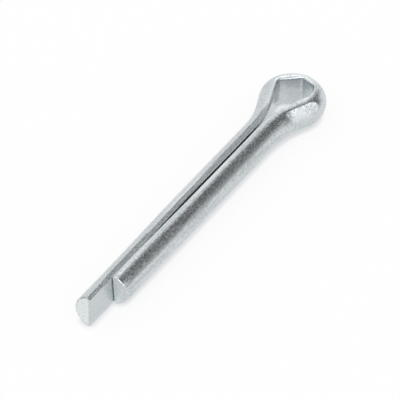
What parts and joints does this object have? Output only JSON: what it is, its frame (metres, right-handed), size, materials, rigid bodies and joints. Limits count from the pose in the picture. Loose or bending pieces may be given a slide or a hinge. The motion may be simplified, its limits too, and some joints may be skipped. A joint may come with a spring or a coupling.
{
  "type": "split cotter pin",
  "caption": "Split cotter pin: half-round zinc-plated steel wire folded into an eye, with a long and a short prong that are bent apart to lock it in a cross hole.",
  "frame": {"origin": "on the shank's axis, where the two prongs start to part into the eye", "axes": "+X along the shank from the eye to the prong ends, +Y towards the short prong, +Z square to the plane of the eye"},
  "size_m": [0.0398, 0.007, 0.0034],
  "materials": {
    "zinc_plated_steel": "bright zinc plate, slightly dull with fine drawing marks"
  },
  "bodies": {
    "root": {"cotter_pin": "zinc_plated_steel"}
  },
  "joints": []
}
